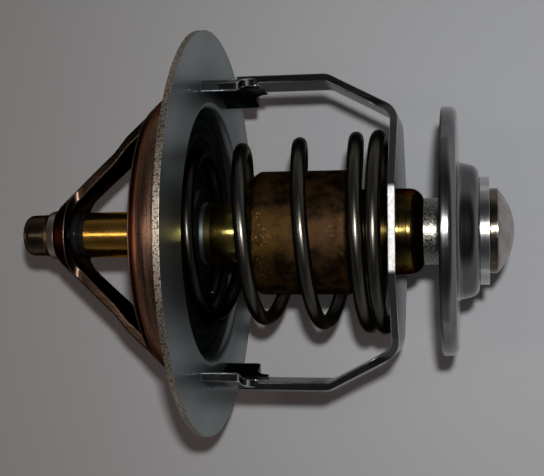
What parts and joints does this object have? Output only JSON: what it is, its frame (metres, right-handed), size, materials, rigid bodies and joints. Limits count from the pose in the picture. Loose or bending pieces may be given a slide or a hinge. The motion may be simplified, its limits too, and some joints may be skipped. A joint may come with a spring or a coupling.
{
  "type": "engine thermostat",
  "caption": "Engine coolant thermostat: thin flange with a conical bridge, a sprung main valve on a wax element in a yoke, and a bypass disc at the end.",
  "frame": {"origin": "centre of the flange's rim, on the face of the flange towards the spring", "axes": "+X along the axis from the nose to the bypass disc, +Y towards one leg of the yoke, +Z square to both legs"},
  "size_m": [0.066, 0.054, 0.054],
  "materials": {
    "zinc_steel": "zinc plated",
    "bronze_sheet": "drawn bronze sheet",
    "ground_steel": "ground",
    "white_plastic": "smooth",
    "black_rubber": "moulded",
    "bright_plated_steel": "bright plated",
    "spring_wire": "drawn wire",
    "valve_steel": "zinc plated",
    "clip_steel": "dark spring steel",
    "brass": "turned",
    "tarnished_brass": "tarnished",
    "wax": "waxy",
    "turned_steel": "turned",
    "satin_steel": "satin",
    "bright_washer": "bright",
    "rivet_steel": "headed"
  },
  "bodies": {
    "frame": {"flange": "zinc_steel", "bridge": "bronze_sheet", "piston": "ground_steel", "backup_disc": "white_plastic", "plug": "black_rubber", "yoke": "bright_plated_steel", "main_spring": "spring_wire"},
    "element": {"main_valve": "valve_steel", "valve_clip": "clip_steel", "guide": "brass", "guide_seal": "black_rubber", "wax_cup": "tarnished_brass", "diaphragm": "black_rubber", "wax_charge": "wax", "bypass_spacer": "turned_steel", "bypass_disc": "satin_steel", "bypass_washer": "bright_washer", "bypass_rivet": "rivet_steel"}
  },
  "joints": [
    {"name": "valve_lift", "type": "slide", "parent": "frame", "child": "element", "axis": [1, 0, 0], "range_m": [0, 0.005], "stiffness_N_per_m": 2600, "springref_m": -0.018, "deforming": ["main_spring"]}
  ]
}
